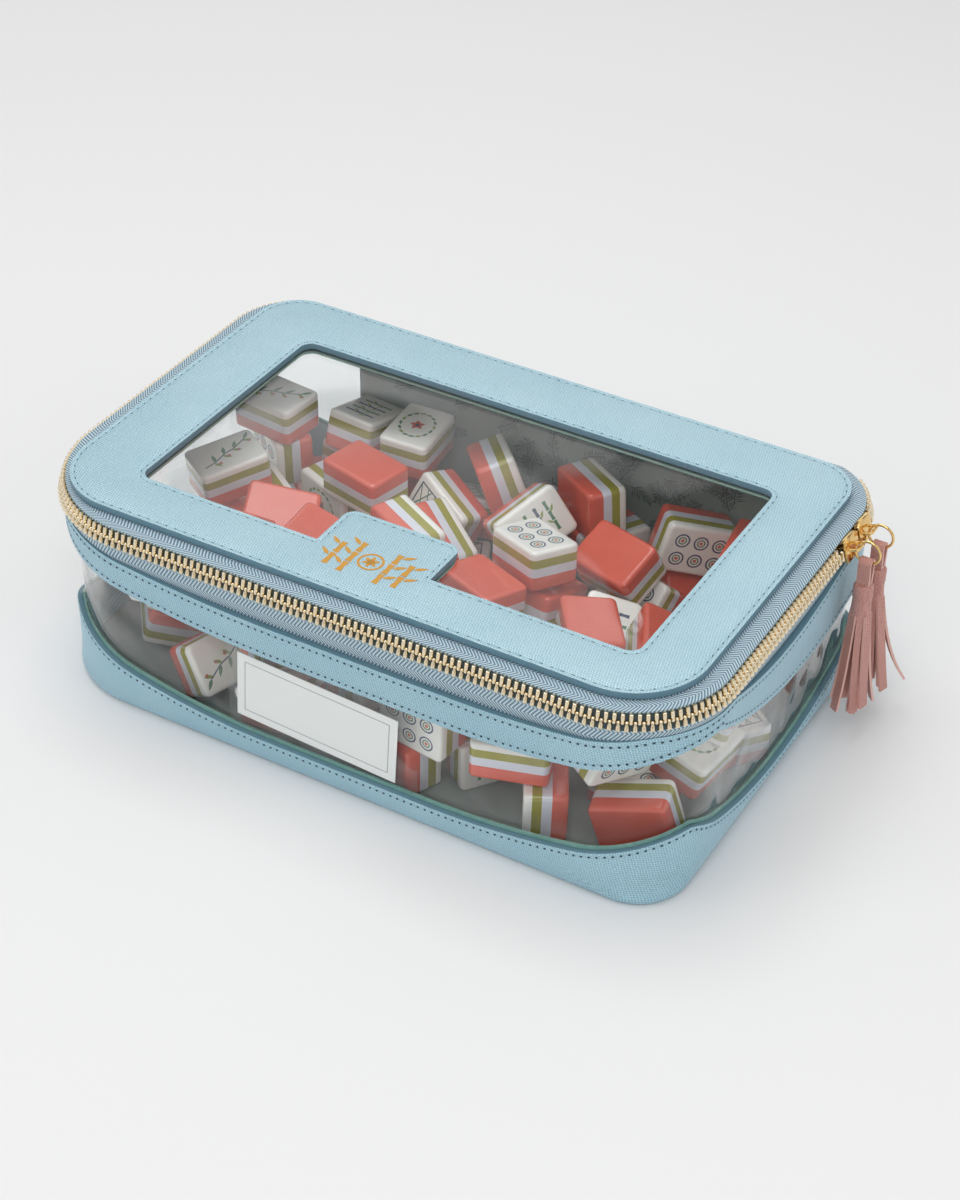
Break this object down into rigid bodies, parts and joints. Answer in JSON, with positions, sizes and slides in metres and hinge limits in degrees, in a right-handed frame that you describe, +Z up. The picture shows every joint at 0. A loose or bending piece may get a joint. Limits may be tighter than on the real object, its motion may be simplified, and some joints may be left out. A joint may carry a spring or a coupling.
{
  "type": "clear zip case of game tiles",
  "caption": "Clear zip-round case with a metallic blue leather frame, windowed lid on a back hinge, two gold sliders with tassels, a name-card pocket and a loose heap of laminated game tiles",
  "frame": {"origin": "middle of the underside of the bottom panel, on the surface the case stands on", "axes": "+X along the long side towards the parked sliders and tassels, +Y from the card pocket towards the hinge at the back, +Z up"},
  "size_m": [0.3096, 0.187, 0.0922],
  "materials": {
    "leather": "metallic light blue saffiano-grain coated leather, satin",
    "lining": "smooth grey-green lining sheet",
    "clear": "clear flexible vinyl sheet, glossy",
    "mint": "mint hem of the vinyl, glossy",
    "tape": "woven zip tape, blue grey",
    "zip_gold": "champagne-plated cast zip teeth",
    "gold": "polished gold-plated slider and ring",
    "tassel": "soft dusty-pink leather strips",
    "card": "white matt card",
    "tile_white": "polished white resin",
    "tile_green": "polished olive-green resin",
    "tile_coral": "polished coral resin"
  },
  "bodies": {
    "case": {"base_tray": "leather", "base_panel": "leather", "base_board": "lining", "clear_wall": "clear", "wall_hem": "mint", "back_panel": "leather", "back_lining": "lining", "leather_band": "leather", "lower_zip_tape": "tape", "lower_zip_teeth": "zip_gold", "zip_end_stops": "gold", "card_pocket": "clear", "tile_faces": "tile_white", "tile_green_layers": "tile_green", "tile_white_layers": "tile_white", "tile_backs": "tile_coral"},
    "lid": {"lid_frame": "leather", "lid_window": "clear", "lid_lining": "lining", "hinge_flap": "leather", "upper_zip_tape": "tape", "upper_zip_teeth": "zip_gold"},
    "front_slider": {"front_slider": "gold"},
    "front_ring": {"front_ring": "gold"},
    "front_tassel": {"front_tassel_loop": "tassel", "front_tassel_skirt": "tassel"},
    "rear_slider": {"rear_slider": "gold"},
    "rear_ring": {"rear_ring": "gold"},
    "rear_tassel": {"rear_tassel_loop": "tassel", "rear_tassel_skirt": "tassel"},
    "card": {"name_card": "card"}
  },
  "joints": [
    {"name": "lid_hinge", "type": "hinge", "parent": "case", "child": "lid", "pos_m": [0, 0.08905, 0.0856], "axis": [-1, 0, 0], "range_deg": [0, 180]},
    {"name": "front_slider_run", "type": "slide", "parent": "case", "child": "front_slider", "axis": [0, -1, 0], "range_m": [0, 0.09]},
    {"name": "rear_slider_run", "type": "slide", "parent": "case", "child": "rear_slider", "axis": [0, 1, 0], "range_m": [-0.001, 0.0015]},
    {"name": "front_ring_hinge", "type": "hinge", "parent": "front_slider", "child": "front_ring", "pos_m": [0.14767, 0.046, 0.08635], "axis": [0, -1, 0], "range_deg": [0, 65]},
    {"name": "front_tassel_hinge", "type": "hinge", "parent": "front_ring", "child": "front_tassel", "pos_m": [0.15238, 0.046, 0.0801], "axis": [-1, 0, 0], "range_deg": [0, 60]},
    {"name": "rear_ring_hinge", "type": "hinge", "parent": "rear_slider", "child": "rear_ring", "pos_m": [0.14767, 0.0585, 0.08635], "axis": [0, -1, 0], "range_deg": [0, 65]},
    {"name": "rear_tassel_hinge", "type": "hinge", "parent": "rear_ring", "child": "rear_tassel", "pos_m": [0.15238, 0.0585, 0.0801], "axis": [1, 0, 0], "range_deg": [0, 60]},
    {"name": "card_run", "type": "slide", "parent": "case", "child": "card", "axis": [0.9969, 0, 0.0785], "range_m": [0, 0.072]}
  ]
}
